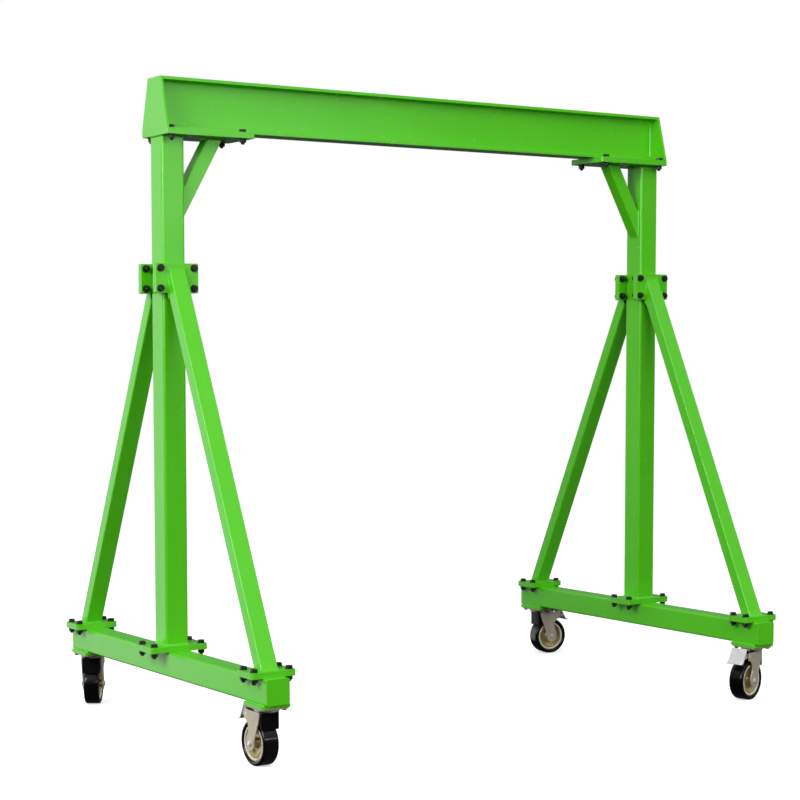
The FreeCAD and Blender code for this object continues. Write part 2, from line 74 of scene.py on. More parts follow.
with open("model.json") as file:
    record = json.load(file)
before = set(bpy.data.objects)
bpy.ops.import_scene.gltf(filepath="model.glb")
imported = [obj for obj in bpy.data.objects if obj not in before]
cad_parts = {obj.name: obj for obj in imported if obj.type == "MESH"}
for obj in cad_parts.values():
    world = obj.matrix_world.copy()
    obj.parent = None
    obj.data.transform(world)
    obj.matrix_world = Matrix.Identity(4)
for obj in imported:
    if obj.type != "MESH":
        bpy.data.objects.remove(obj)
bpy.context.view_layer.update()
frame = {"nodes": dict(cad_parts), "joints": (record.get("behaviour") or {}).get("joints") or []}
joints = {joint["name"]: joint for joint in frame["joints"]}


# ---------------------------------------------------------------- mesh helpers

class Shape:
    """Points and faces gathered for one piece."""

    def __init__(self):
        self.points, self.faces, self.slots = [], [], []

    def add(self, points, faces, place=Matrix(), slot=0):
        start = len(self.points)
        self.points += [place @ Vector(point) for point in points]
        self.faces += [[start + index for index in face] for face in faces]
        self.slots += [slot] * len(faces)

    def loops(self, rings, place=Matrix(), closed=False, slot=0):
        """Join rings of as many points each by quads; an open run gets flat ends."""
        count = len(rings[0])
        points = [point for ring in rings for point in ring]
        faces = []
        for a in range(len(rings) if closed else len(rings) - 1):
            b = (a + 1) % len(rings)
            for i in range(count):
                j = (i + 1) % count
                faces.append((a * count + i, a * count + j, b * count + j, b * count + i))
        if not closed:
            last = (len(rings) - 1) * count
            faces.append(tuple(reversed(range(count))))
            faces.append(tuple(range(last, last + count)))
        self.add(points, faces, place, slot)

    def lathe(self, profile, place=Matrix(), segments=32, closed=False, slot=0):
        """Turn (radius, height) pairs about the local Z axis."""
        turns = [math.tau * i / segments for i in range(segments)]
        rings = [[(r * math.cos(t), r * math.sin(t), h) for t in turns] for r, h in profile]
        self.loops(rings, place, closed, slot)

    def piece(self, name, materials, body, slot, smooth=35):
        """Make the object, smooth below the angle, riding on a body."""
        mesh = bpy.data.meshes.new(name)
        mesh.from_pydata(self.points, [], self.faces)
        mesh.polygons.foreach_set("material_index", self.slots)
        made = bmesh.new()
        made.from_mesh(mesh)
        bmesh.ops.recalc_face_normals(made, faces=made.faces)
        for face in made.faces:
            face.smooth = True
        for edge in made.edges:
            edge.smooth = edge.is_manifold and edge.calc_face_angle() < math.radians(smooth)
        made.to_mesh(mesh)
        made.free()
        for material in materials:
            mesh.materials.append(material)
        thing = bpy.data.objects.new(name, mesh)
        bpy.context.scene.collection.objects.link(thing)
        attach(thing, body)
        return thing


def axes(x, y, z, origin):
    """The placement whose local axes are x, y and z."""
    turn = Matrix((x, y, z)).transposed().to_4x4()
    return Matrix.Translation(origin) @ turn


def pointing(direction, origin):
    """The placement that turns local Z to a direction."""
    return Matrix.Translation(origin) @ Vector(direction).to_track_quat("Z", "Y").to_matrix().to_4x4()


def sheet_metal(shape, outlines, thickness, round_edge, place, slot=0):
    """A flat plate with rounded edges: the first outline is its edge, the others are holes."""
    curve = bpy.data.curves.new("plate", "CURVE")
    curve.dimensions = "2D"
    curve.fill_mode = "BOTH"
    curve.extrude = thickness / 2 - round_edge
    curve.bevel_depth = round_edge
    curve.bevel_resolution = 1
    curve.offset = -round_edge
    for outline in outlines:
        spline = curve.splines.new("POLY")
        spline.points.add(len(outline) - 1)
        for point, (x, y) in zip(spline.points, outline):
            point.co = (x, y, 0, 1)
        spline.use_cyclic_u = True
    holder = bpy.data.objects.new("plate", curve)
    bpy.context.scene.collection.objects.link(holder)
    mesh = bpy.data.meshes.new_from_object(holder.evaluated_get(bpy.context.evaluated_depsgraph_get()))
    shape.add([v.co for v in mesh.vertices], [tuple(p.vertices) for p in mesh.polygons], place, slot)
    bpy.data.objects.remove(holder)
    bpy.data.curves.remove(curve)
    bpy.data.meshes.remove(mesh)


def smooth_outline(knots, steps=6):
    """A closed curve through (x, y, sharp) knots; a sharp knot stays a corner."""
    count = len(knots)
    points = []
    for i in range(count):
        a, b, c, d = (Vector(knots[(i + k) % count][:2]) for k in (-1, 0, 1, 2))
        leave = Vector((0, 0)) if knots[i][2] else (c - a) / 2
        arrive = Vector((0, 0)) if knots[(i + 1) % count][2] else (d - b) / 2
        for step in range(steps):
            t = step / steps
            h = (2 * t**3 - 3 * t**2 + 1, t**3 - 2 * t**2 + t, -2 * t**3 + 3 * t**2, t**3 - t**2)
            points.append(tuple(b * h[0] + leave * h[1] + c * h[2] + arrive * h[3]))
    return points


def circle(x, y, radius, count=20):
    return [(x + radius * math.cos(math.tau * i / count), y + radius * math.sin(math.tau * i / count))
            for i in range(count)]


# ---------------------------------------------------------------- materials

def nodes_of(name):
    material = bpy.data.materials.new(name)
    material.use_nodes = True
    tree = material.node_tree
    return material, tree, tree.nodes["Principled BSDF"]


def add(tree, kind, **values):
    node = tree.nodes.new(kind)
    for key, value in values.items():
        setattr(node, key, value)
    return node


def noise_at(tree, scale, detail=3.0, roughness=0.5, stretch=(1, 1, 1)):
    where = add(tree, "ShaderNodeTexCoord")
    shift = add(tree, "ShaderNodeMapping")
    shift.inputs["Scale"].default_value = stretch
    tree.links.new(where.outputs["Object"], shift.inputs["Vector"])
    made = add(tree, "ShaderNodeTexNoise")
    made.inputs["Scale"].default_value = scale
    made.inputs["Detail"].default_value = detail
    made.inputs["Roughness"].default_value = roughness
    tree.links.new(shift.outputs["Vector"], made.inputs["Vector"])
    return made.outputs["Fac"]


def ramp(tree, source, stops):
    made = add(tree, "ShaderNodeValToRGB")
    while len(made.color_ramp.elements) < len(stops):
        made.color_ramp.elements.new(0.5)
    for element, (place, colour) in zip(made.color_ramp.elements, stops):
        element.position = place
        element.color = (*colour, 1)
    tree.links.new(source, made.inputs["Fac"])
    return made.outputs["Color"]


def spread(tree, source, low, high):
    """Map a 0 to 1 value to low to high."""
    made = add(tree, "ShaderNodeMapRange")
    made.inputs["To Min"].default_value = low
    made.inputs["To Max"].default_value = high
    tree.links.new(source, made.inputs["Value"])
    return made.outputs["Result"]


def bump(tree, source, strength, distance, normal=None):
    made = add(tree, "ShaderNodeBump")
    made.inputs["Strength"].default_value = strength
    made.inputs["Distance"].default_value = distance
    tree.links.new(source, made.inputs["Height"])
    if normal:
        tree.links.new(normal, made.inputs["Normal"])
    return made.outputs["Normal"]


def edge_wear_and_highlight(tree, radius, low, high):
    """The softened normal and a mask that is 1 along convex and concave edges: a painted highlight on the
    green paint, paler edges on the other finishes.
    """
    soft = add(tree, "ShaderNodeBevel", samples=6)
    soft.inputs["Radius"].default_value = radius
    flat = add(tree, "ShaderNodeNewGeometry")
    dot = add(tree, "ShaderNodeVectorMath", operation="DOT_PRODUCT")
    tree.links.new(soft.outputs["Normal"], dot.inputs[0])
    tree.links.new(flat.outputs["Normal"], dot.inputs[1])
    mask = add(tree, "ShaderNodeMapRange")
    mask.inputs["From Min"].default_value = high
    mask.inputs["From Max"].default_value = low
    tree.links.new(dot.outputs["Value"], mask.inputs["Value"])
    return soft.outputs["Normal"], mask.outputs["Result"]


def mixed(tree, factor, first, second):
    made = add(tree, "ShaderNodeMix", data_type="RGBA")
    tree.links.new(factor, made.inputs["Factor"])
    for socket, value in (("A", first), ("B", second)):
        target = [s for s in made.inputs if s.name == socket and s.type == "RGBA"][0]
        if isinstance(value, tuple):
            target.default_value = (*value, 1)
        else:
            tree.links.new(value, target)
    return [s for s in made.outputs if s.type == "RGBA"][0]


def green_paint():
    """Glossy enamel: a little uneven in depth, paler on edges as a painted highlight, with orange peel."""
    material, tree, shader = nodes_of("green_paint")
    depth = ramp(tree, noise_at(tree, 2.2, 2), ((0.3, (0.078, 0.520, 0.006)), (0.7, (0.090, 0.560, 0.009))))
    runs = noise_at(tree, 9, 4, 0.6, (1, 1, 0.25))
    coat = mixed(tree, spread(tree, runs, 0, 0.35), depth, (0.070, 0.480, 0.005))
    normal, edge = edge_wear_and_highlight(tree, 1.6 * MM, 0.80, 0.985)
    # painted highlight: edges and creases are painted a paler green
    colour = mixed(tree, edge, coat, (0.19, 0.64, 0.09))
    tree.links.new(colour, shader.inputs["Base Color"])
    tree.links.new(spread(tree, noise_at(tree, 14, 4), 0.22, 0.30), shader.inputs["Roughness"])
    peel = bump(tree, noise_at(tree, 420, 2), 0.10, 0.3 * MM, normal)
    tree.links.new(bump(tree, noise_at(tree, 30, 3), 0.06, 1.0 * MM, peel), shader.inputs["Normal"])
    return material


def black_bolt():
    """Blackened steel with brighter rubbed corners."""
    material, tree, shader = nodes_of("black_bolt")
    film = ramp(tree, noise_at(tree, 260, 4), ((0.3, (0.006, 0.006, 0.007)), (0.75, (0.020, 0.020, 0.021))))
    normal, edge = edge_wear_and_highlight(tree, 0.5 * MM, 0.82, 0.98)
    tree.links.new(mixed(tree, edge, film, (0.11, 0.11, 0.11)), shader.inputs["Base Color"])
    tree.links.new(spread(tree, noise_at(tree, 180, 3), 0.28, 0.5), shader.inputs["Roughness"])
    tree.links.new(bump(tree, noise_at(tree, 900, 2), 0.15, 0.1 * MM, normal), shader.inputs["Normal"])
    shader.inputs["Metallic"].default_value = 0.35
    return material


def zinc(name, pale, dark, shine, metal):
    """Zinc plate over pressed steel: cloudy, finely scratched, brighter on edges."""
    material, tree, shader = nodes_of(name)
    cloud = ramp(tree, noise_at(tree, 38, 5, 0.65), ((0.32, dark), (0.68, pale)))
    normal, edge = edge_wear_and_highlight(tree, 0.8 * MM, 0.80, 0.98)
    bright = tuple(min(1, c * 1.25) for c in pale)
    tree.links.new(mixed(tree, edge, cloud, bright), shader.inputs["Base Color"])
    scratches = noise_at(tree, 500, 2, 0.5, (1, 1, 0.06))
    tree.links.new(spread(tree, noise_at(tree, 60, 4), shine, shine + 0.18), shader.inputs["Roughness"])
    tree.links.new(bump(tree, scratches, 0.12, 0.15 * MM, normal), shader.inputs["Normal"])
    shader.inputs["Metallic"].default_value = metal
    return material


def enamel(name, deep, pale, rubbed, metal):
    """The caster wheel's painted core: stained enamel, rubbed pale on its edges."""
    material, tree, shader = nodes_of(name)
    stain = ramp(tree, noise_at(tree, 55, 5, 0.7), ((0.3, deep), (0.65, pale)))
    normal, edge = edge_wear_and_highlight(tree, 0.9 * MM, 0.80, 0.985)
    tree.links.new(mixed(tree, edge, stain, rubbed), shader.inputs["Base Color"])
    tree.links.new(spread(tree, noise_at(tree, 90, 3), 0.16, 0.30), shader.inputs["Roughness"])
    tree.links.new(bump(tree, noise_at(tree, 300, 3), 0.08, 0.3 * MM, normal), shader.inputs["Normal"])
    shader.inputs["Metallic"].default_value = metal
    return material


def black_tyre(name, shine, gloss):
    """Glossy moulded tread, with faint mould grain and rolled dust round the tread."""
    material, tree, shader = nodes_of(name)
    stops = ((0.45, (0.0020, 0.0020, 0.0022)), (0.9, (0.007, 0.0065, 0.006)))
    dust = ramp(tree, noise_at(tree, 45, 5, 0.7), stops)
    tree.links.new(dust, shader.inputs["Base Color"])
    tree.links.new(spread(tree, noise_at(tree, 70, 4), shine, shine + 0.08), shader.inputs["Roughness"])
    shader.inputs["Specular IOR Level"].default_value = gloss
    grain = bump(tree, noise_at(tree, 650, 2), 0.04, 0.1 * MM)
    tree.links.new(grain, shader.inputs["Normal"])
    return material


def floor_paint():
    """Pale floor with barely visible mottling."""
    material, tree, shader = nodes_of("pale_floor")
    tree.links.new(ramp(tree, noise_at(tree, 1.5, 3), ((0.3, (0.80, 0.80, 0.80)), (0.7, (0.83, 0.83, 0.83)))),
                   shader.inputs["Base Color"])
    shader.inputs["Roughness"].default_value = 0.9
    shader.inputs["Specular IOR Level"].default_value = 0.1
    shader.inputs["Emission Color"].default_value = (1, 1, 1, 1)
    shader.inputs["Emission Strength"].default_value = 0.5
    return material


GREEN = green_paint()
BOLT = black_bolt()
FORK = zinc("fork_zinc", (0.56, 0.51, 0.40), (0.44, 0.39, 0.28), 0.30, 0.3)
BRIGHT = zinc("bright_zinc", (0.80, 0.80, 0.80), (0.66, 0.66, 0.66), 0.22, 0.6)
# painted glint: the balls are near-white and not metallic, so they show as white dots
BALLS = zinc("race_balls_painted_glint", (0.92, 0.92, 0.92), (0.85, 0.85, 0.85), 0.20, 0.0)
CREAM = enamel("cream_rim", (0.66, 0.61, 0.46), (0.80, 0.76, 0.62), (0.90, 0.87, 0.76), 0.0)
CORE = enamel("olive_core", (0.36, 0.27, 0.11), (0.48, 0.38, 0.18), (0.66, 0.57, 0.34), 0.45)
TYRE = black_tyre("black_tyre", 0.08, 0.3)
# near-black guard, crown, web and race cup: the guard is a part, and this pure black is also painted shade
# between the fork's cheeks
GUARD_AND_SHADE = black_tyre("black_guard_and_painted_shade", 0.35, 0.08)


def finish_cad():
    """Give each carried-over CAD node its finish."""
    for name, node in frame["nodes"].items():
        material = GREEN
        if name == "caster_top_plates":
            material = FORK
        node.data.materials.clear()
        node.data.materials.append(material)


# ---------------------------------------------------------------- fasteners

def hexagon(apothem, low, high, chamfer_up=True, chamfer_down=False):
    """Rings of a hexagon head whose corners are turned off by a cone."""
    turned = apothem * 0.97
    corners = [math.tau * i / 36 for i in range(36)]
    sides = [apothem / math.cos((t + math.pi / 6) % (math.pi / 3) - math.pi / 6) for t in corners]
    drops = [max(0, side - turned) * 0.58 for side in sides]

    def ring(radii, heights):
        return [(r * math.cos(t), r * math.sin(t), h) for t, r, h in zip(corners, radii, heights)]

    lower = [low + (drop if chamfer_down else 0) for drop in drops]
    upper = [high - (drop if chamfer_up else 0) for drop in drops]
    rings = [ring(sides, lower), ring(sides, upper)]
    if chamfer_down:
        rings.insert(0, ring([turned] * 36, [low] * 36))
    if chamfer_up:
        rings.append(ring([turned] * 36, [high] * 36))
    return rings


def bolt(shape, place, grip, size=16, head=10, nut=13, washer=15, washer_tall=3, tail=7):
    """A hexagon bolt through plates: local Z out of the head's side, Z 0 on the plate."""
    apothem = {16: 12, 10: 8}[size] * MM
    shank, washer, tall = size / 2 * MM, washer * MM, washer_tall * MM
    under = -grip
    ring = [(shank * 1.06, 0), (washer, 0), (washer, tall * 0.8), (washer - tall * 0.2, tall),
            (shank * 1.06, tall)]
    shape.lathe(ring, place, 28, closed=True)
    shape.loops(hexagon(apothem, tall, tall + head * MM), place)
    dish = [(apothem * 0.55, tall + head * MM), (apothem * 0.5, tall + head * MM + 0.5 * MM)]
    shape.lathe(dish, place, 24)
    if nut:
        lower = [(shank * 1.06, under), (washer, under), (washer, under - tall), (shank * 1.06, under - tall)]
        shape.lathe(lower, place, 28, closed=True)
        shape.loops(hexagon(apothem, under - tall - nut * MM, under - tall, True, True), place)
        end = under - tall - (nut + tail) * MM
        threads = [(shank * 0.8, end), (shank * 0.98, end + 1.5 * MM)]
        pitch = 2 * MM
        for turn in range(int(tail * MM / pitch) - 1):
            start = end + 1.5 * MM + turn * pitch
            threads += [(shank * 0.86, start + pitch * 0.5), (shank * 0.98, start + pitch)]
        shape.lathe(threads + [(shank * 0.9, under - tall - nut * MM + 1 * MM)], place, 24)
    shape.lathe([(shank, under - tall * 0.5), (shank, tall * 0.5)], place, 20)


def grid(pairs):
    return [(x * MM, y * MM) for x in pairs[0] for y in pairs[1]]


def frame_bolts():
    """The bolts of the head, foot and collar joints, in one piece per kind of joint."""
    shoe_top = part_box("beam_shoe_plates")[1].z
    head_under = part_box("head_plates")[0].z
    foot_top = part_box("foot_plates")[1].z
    pad_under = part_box("base_pads")[0].z
    screw_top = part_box("caster_pads")[0].z - 6 * MM
    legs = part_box("leg_head_plates")
    heads, collars, posts, feet, screws = Shape(), Shape(), Shape(), Shape(), Shape()
    for side, sign in SIDES.items():
        low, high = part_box(f"{side}_upright")
        x = (low.x + high.x) / 2
        for dx, dy in grid(HEAD_BOLTS):
            turn = Matrix.Rotation(dx * 60, 4, "Z")
            bolt(heads, Matrix.Translation((x + sign * dx, dy, shoe_top)) @ turn, shoe_top - head_under)
        for dx, dy in grid(POST_BOLTS):
            turn = Matrix.Rotation(dx * 47 + dy * 31, 4, "Z")
            bolt(posts, Matrix.Translation((x + dx, dy, foot_top)) @ turn, foot_top - pad_under)
        for end, way in ENDS.items():
            foot_y = way * LEG_FOOT * MM
            for dx, dy in grid(LEG_BOLTS):
                turn = Matrix.Rotation(dx * 71 + dy * 53, 4, "Z")
                bolt(feet, Matrix.Translation((x + dx, foot_y + dy, foot_top)) @ turn, foot_top - pad_under)
            face = legs[1].y if way > 0 else legs[0].y
            height = (legs[0].z + legs[1].z) / 2
            for dx, dz in grid(COLLAR_BOLTS):
                turn = Matrix.Rotation(dx * 40 + dz * 67, 4, "Z")
                place = pointing((0, way, 0), (x + dx, face, height + dz)) @ turn
                bolt(collars, place, abs(face) - POST_HALF * MM)
            stem = Vector(joints[f"{side}_{end}_swivel"]["pos_m"])
            for dx, dy in grid(CASTER_BOLTS):
                turn = Matrix.Rotation(dx * 90, 4, "Z")
                place = pointing((0, 0, -1), (stem.x + dx, stem.y + dy, screw_top)) @ turn
                bolt(screws, place, 17 * MM, 10, 6, 0, 10, 1.5)
    for name, shape in (("head_bolts", heads), ("collar_bolts", collars), ("post_bolts", posts),
                        ("leg_foot_bolts", feet), ("caster_screws", screws)):
        shape.piece(name, [BOLT], "frame", "zinc_steel", 30)


# ---------------------------------------------------------------- welds

def bead(shape, points, outs, up, size, closed=True):
    """A weld bead in the corner between a wall along up and a plate along outs, with small ripples."""
    rings = []
    travelled = 0
    for i, (point, out) in enumerate(zip(points, outs)):
        if i:
            travelled += (Vector(points[i]) - Vector(points[i - 1])).length
        wave = math.sin(travelled / (5.5 * MM) * math.tau)
        ripple = 1 + 0.10 * wave + 0.10 * noise.noise(Vector(point) * 90)
        s = size * ripple
        point, out = Vector(point), Vector(out)
        rings.append([
            point - out * s * 0.3 - up * s * 0.3, point + out * s - up * s * 0.2,
            point + out * s * 0.93 + up * s * 0.16, point + (out + up) * s * 0.55,
            point + out * s * 0.16 + up * s * 0.93, point - out * s * 0.2 + up * s,
        ])
    shape.loops(rings, closed=closed)


def around(centre, u, v, half_u, half_v, corner, step=3.2 * MM):
    """Points and outward directions round a rectangle with rounded corners."""
    points, outs = [], []
    flats = ((1, 0), (0, 1), (-1, 0), (0, -1))
    for a, b in flats:
        length = 2 * ((half_v if a else half_u) - corner)
        count = max(2, round(length / step))
        for i in range(count):
            t = (i / count - 0.5) * length
            across = Vector((a * half_u, b * half_v)) + Vector((-b, a)) * t
            points.append(centre + u * across.x + v * across.y)
            outs.append(u * a + v * b)
        turn = math.atan2(b, a)
        for i in range(3):
            t = turn + math.pi / 2 * i / 3
            middle = Vector(((half_u - corner) * (a - b), (half_v - corner) * (a + b)))
            out = Vector((math.cos(t), math.sin(t)))
            across = middle + out * corner
            points.append(centre + u * across.x + v * across.y)
            outs.append(u * out.x + v * out.y)
    return points, outs


def along(start, end, step=3.2 * MM):
    start, end = Vector(start), Vector(end)
    count = round((end - start).length / step)
    return [start.lerp(end, i / count) for i in range(count + 1)]


def welds():
    X, Y, Z = Vector((1, 0, 0)), Vector((0, 1, 0)), Vector((0, 0, 1))
    shape = Shape()
    foot_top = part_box("foot_plates")[1].z
    head_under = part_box("head_plates")[0].z
    shoe_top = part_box("beam_shoe_plates")[1].z
    pad_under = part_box("base_pads")[0].z
    seat_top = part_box("caster_pads")[1].z
    collar_low, collar_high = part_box("leg_head_plates")
    meet = (collar_low.z + collar_high.z) / 2 - COLLAR_WELD_DROP * MM
    for side, sign in SIDES.items():
        low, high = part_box(f"{side}_upright")
        x = (low.x + high.x) / 2
        for height, up in ((foot_top, Z), (head_under, -Z)):
            points, outs = around(Vector((x, 0, height)), X, Y, POST_HALF * MM, POST_HALF * MM, 9 * MM)
            bead(shape, points, outs, up, 6 * MM)
        lean = Vector((sign * (KNEE_REACH - POST_HALF), 0, -KNEE_DROP)).normalized()
        half = 30 * MM / abs(lean.z)
        top = Vector((x - sign * KNEE_REACH * MM, 0, head_under))
        points, outs = around(top, X, Y, half, 30 * MM, 5 * MM)
        bead(shape, points, outs, lean, 5 * MM)
        half = 30 * MM / abs(lean.x)
        low_end = Vector((x - sign * POST_HALF * MM, 0, head_under - KNEE_DROP * MM))
        points, outs = around(low_end, Y, Z, 30 * MM, half, 5 * MM)
        bead(shape, points, outs, -lean, 5 * MM)
        for end, way in ENDS.items():
            face = abs(collar_high.y)
            run = Vector((0, way * (face - LEG_FOOT * MM), meet - foot_top)).normalized()
            half = 25 * MM / run.z
            points, outs = around(Vector((x, way * LEG_FOOT * MM, foot_top)), X, Y, 37.5 * MM, half, 5 * MM)
            bead(shape, points, outs, run, 5 * MM)
            half = 25 * MM / abs(run.y)
            points, outs = around(Vector((x, way * face, meet)), X, Z, 37.5 * MM, min(half, 60 * MM), 5 * MM)
            bead(shape, points, outs, -run, 5 * MM)
            stem = Vector(joints[f"{side}_{end}_swivel"]["pos_m"])
            for out in (-1, 1):
                beside = x + out * 47 * MM
                points = along((beside, stem.y - 66 * MM, seat_top), (beside, stem.y + 66 * MM, seat_top))
                bead(shape, points, [X * out] * len(points), Z, 6 * MM, False)
        for y, reach in ((0, 66), (-LEG_FOOT, 54), (LEG_FOOT, 54)):
            for out in (-1, 1):
                beside = x + out * 47 * MM
                points = along((beside, (y - reach) * MM, pad_under), (beside, (y + reach) * MM, pad_under))
                bead(shape, points, [X * out] * len(points), -Z, 6 * MM, False)
        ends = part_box("beam_end_plates")
        face = abs(ends[1].x) - 10 * MM
        for way in ENDS.values():
            inner = sign * (abs(x) - 338 * MM)
            points = along((inner, way * 53 * MM, shoe_top), (sign * face, way * 53 * MM, shoe_top))
            bead(shape, points, [Y * way] * len(points), Z, 6 * MM, False)
            low_end = (sign * face, way * 4 * MM, shoe_top + 24 * MM)
            points = along(low_end, (sign * face, way * 4 * MM, ends[1].z - 24 * MM))
            bead(shape, points, [Y * way] * len(points), -X * sign, 5 * MM, False)
    shape.piece("welds", [GREEN], "frame", "green_paint", 60)


# ---------------------------------------------------------------- casters

def caster_place(corner):
    """Local X along the trail, local Y along the axle, Z up, origin on the floor under the stem."""
    stem = Vector(joints[f"{corner}_swivel"]["pos_m"])
    wheel = joints[f"{corner}_wheel_spin"]
    across = Vector(wheel["axis"])
    trail = Vector((wheel["pos_m"][0] - stem.x, wheel["pos_m"][1] - stem.y, 0)).normalized()
    return axes(trail, across, Vector((0, 0, 1)), Vector((stem.x, stem.y, 0)))


def turned_about_axle(place, centre):
    """Lathe placement: local Z of the lathe along the axle."""
    return place @ Matrix.Translation(centre) @ Matrix.Rotation(-math.pi / 2, 4, "X")


def upright_sheet(across):
    """Placement of a sheet that stands along the trail, so far across the wheel."""
    return axes(Vector((1, 0, 0)), Vector((0, 0, 1)), Vector((0, -1, 0)), Vector((0, across, 0)))


def tyre_profile(radius, half, seat, inner_half):
    """The tyre's section: flat tread, round shoulders, a small step down to the rim."""
    points = [(seat, -inner_half), (seat + 2 * MM, -half + 2 * MM), (seat + 4 * MM, -half)]
    shoulder = 9 * MM
    for i in range(9):
        t = math.pi / 2 * i / 8
        points.append((radius - shoulder + shoulder * math.sin(t), -half + shoulder - shoulder * math.cos(t)))
    points.append((radius, -half / 3))
    return points + [(r, -h) for r, h in reversed(points)]


def wheels(corner, place):
    """Tyre, two-tone core and axle bolt of one caster."""
    centre = place.inverted() @ Vector(joints[f"{corner}_wheel_spin"]["pos_m"])
    lathe = turned_about_axle(place, centre)
    tyre = Shape()
    tyre.lathe(tyre_profile(centre.z, TYRE_HALF * MM, RIM * MM, RIM_HALF * MM), lathe, 96, closed=True)
    made = tyre.piece(f"{corner}_tyre", [TYRE], f"{corner}_caster_wheel", "black_tyre", 50)
    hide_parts(f"{corner}_caster_tyre")
    core = Shape()
    ring = [(RIM - r, RIM_HALF - h) for r, h in RIM_LIP]
    core.lathe(mirrored(ring), lathe, 72, closed=True)
    hub = [(HUB, HUB_HALF - 2), (HUB - 2, HUB_HALF), (6.05, HUB_HALF)]
    dish = [(RIM - r, RIM_HALF - h) for r, h in DISH] + hub
    core.lathe(mirrored(dish), lathe, 72, closed=True, slot=1)
    made = core.piece(f"{corner}_wheel_core", [CREAM, CORE], f"{corner}_caster_wheel", "cream_rim", 32)
    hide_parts(f"{corner}_caster_wheel")
    axle = Shape()
    out = CHEEK_OUT * MM
    for turn in (0, math.pi):
        side = lathe @ Matrix.Rotation(turn, 4, "X")
        washer = [(6.3 * MM, out), (11 * MM, out), (11 * MM, out + 1 * MM), (6.3 * MM, out + 1 * MM)]
        axle.lathe(washer, side, 24, closed=True)
        axle.loops(hexagon(9.5 * MM, out + 1 * MM, out + 7 * MM), side)
    axle.lathe([(4.5 * MM, out + 6.5 * MM), (5.9 * MM, out + 7 * MM), (5 * MM, out + 8 * MM)], lathe, 20)
    axle.lathe([(6 * MM, -out - 0.5 * MM), (6 * MM, out + 0.5 * MM)], lathe, 24)
    made = axle.piece(f"{corner}_axle_bolt", [BRIGHT], f"{corner}_caster_fork", "zinc_steel", 30)
    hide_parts(f"{corner}_caster_axle")


def mirrored(half):
    """A section in metres from its half in millimetres, mirrored across the wheel."""
    return [(r * MM, h * MM) for r, h in half] + [(r * MM, -h * MM) for r, h in reversed(half)]


def fork(corner, place):
    """Two pressed cheeks with waisted edges, under a round crown and a web, both near-black as painted shade.
    """
    knots = [
        (-14, 213.2, 1), (-14, 200, 0), (-5, 168, 0), (11, 128, 0), (23.5, 98, 0), (23.5, 80, 0),
        (33, 66, 0), (51, 60.2, 0), (69, 66, 0), (78.5, 86, 0), (77, 106, 0), (67, 130, 0),
        (65, 152, 0), (74, 169, 0), (93, 179, 0), (95, 186, 0), (95, 213.2, 1),
    ]
    outline = smooth_outline([(x * MM, z * MM, sharp) for x, z, sharp in knots])
    holes = [circle(TRAIL * MM, AXLE_UP * MM, AXLE_HOLE * MM),
             circle(PIN_OUT * MM, PIN_UP * MM, PIN_HOLE * MM)]
    shape = Shape()
    middle = (CHEEK_OUT + CHEEK_IN) / 2 * MM
    for way in (-1, 1):
        cheek = place @ upright_sheet(way * middle)
        sheet_metal(shape, [outline] + holes, 5 * MM, 1 * MM, cheek)
    crown = [(8.3, 213.6), (40, 213.6), (42.5, 212.5), (43, 210.5), (41.5, 208.7), (8.3, 208.7)]
    shape.lathe([(r * MM, z * MM) for r, z in crown], place, 64, closed=True, slot=1)
    web = [(-14, -CHEEK_IN), (47, -CHEEK_IN), (47, CHEEK_IN), (-14, CHEEK_IN)]
    ring = [(x * MM, y * MM) for x, y in web]
    sheet_metal(shape, [ring, circle(0, 0, 30 * MM, 32)], 4.6 * MM, 0.5 * MM,
                place @ Matrix.Translation((0, 0, 0.2111)), 1)
    made = shape.piece(f"{corner}_fork", [FORK, GUARD_AND_SHADE], f"{corner}_caster_fork", "zinc_steel", 35)
    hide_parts(f"{corner}_caster_fork")


def brake_shoe(corner, place):
    """The black guard: one section that follows the tyre, with a lip at its front; its pure black is partly
    painted shade between the cheeks.
    """
    shape = Shape()
    reach, centre = 94, Vector((TRAIL, AXLE_UP))
    under = [centre + reach * Vector((math.cos(t), math.sin(t))) for t in
             [math.radians(142 - 61 * i / 16) for i in range(17)]]
    outline = [(p.x, p.y) for p in under]
    outline += [(65.7, 188.5), (64.5, 189.7), (-15, 189.7), (-19, 193), (-19, 208.5), (-21.5, 208.5),
                (-23, 207)]
    side = place @ upright_sheet(0)
    sheet_metal(shape, [[(x * MM, z * MM) for x, z in outline]], 77.6 * MM, 0.8 * MM, side)
    made = shape.piece(f"{corner}_brake_guard", [GUARD_AND_SHADE], f"{corner}_caster_fork", "black_tyre", 35)
    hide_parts(f"{corner}_caster_brake_shoe")


def race(corner, place):
    """The ball race: a row of balls between the fixed plate and the crown, near-white as a painted glint,
    under a near-black cup that is partly painted shade.
    """
    cup = Shape()
    profile = [(42.1, 227.9), (47, 227.9), (47.5, 226.5), (46.5, 223.5), (44.5, 222.6), (42.1, 222.6)]
    cup.lathe([(r * MM, z * MM) for r, z in profile], place, 64, closed=True)
    # the cup is near-black, partly as painted shade
    cup.piece(f"{corner}_race_cup", [GUARD_AND_SHADE], "frame", "zinc_steel", 40)
    balls = Shape()
    count, radius = 24, 3.8 * MM
    for i in range(count):
        t = math.tau * i / count
        spot = place @ Matrix.Translation((43.6 * MM * math.cos(t), 43.6 * MM * math.sin(t), 218.4 * MM))
        angles = [math.pi * k / 7 for k in range(1, 7)]
        bands = [(radius * math.sin(a), -radius * math.cos(a)) for a in angles]
        balls.lathe(bands, spot, 12)
    balls.piece(f"{corner}_race_balls", [BALLS], "frame", "zinc_steel", 60)


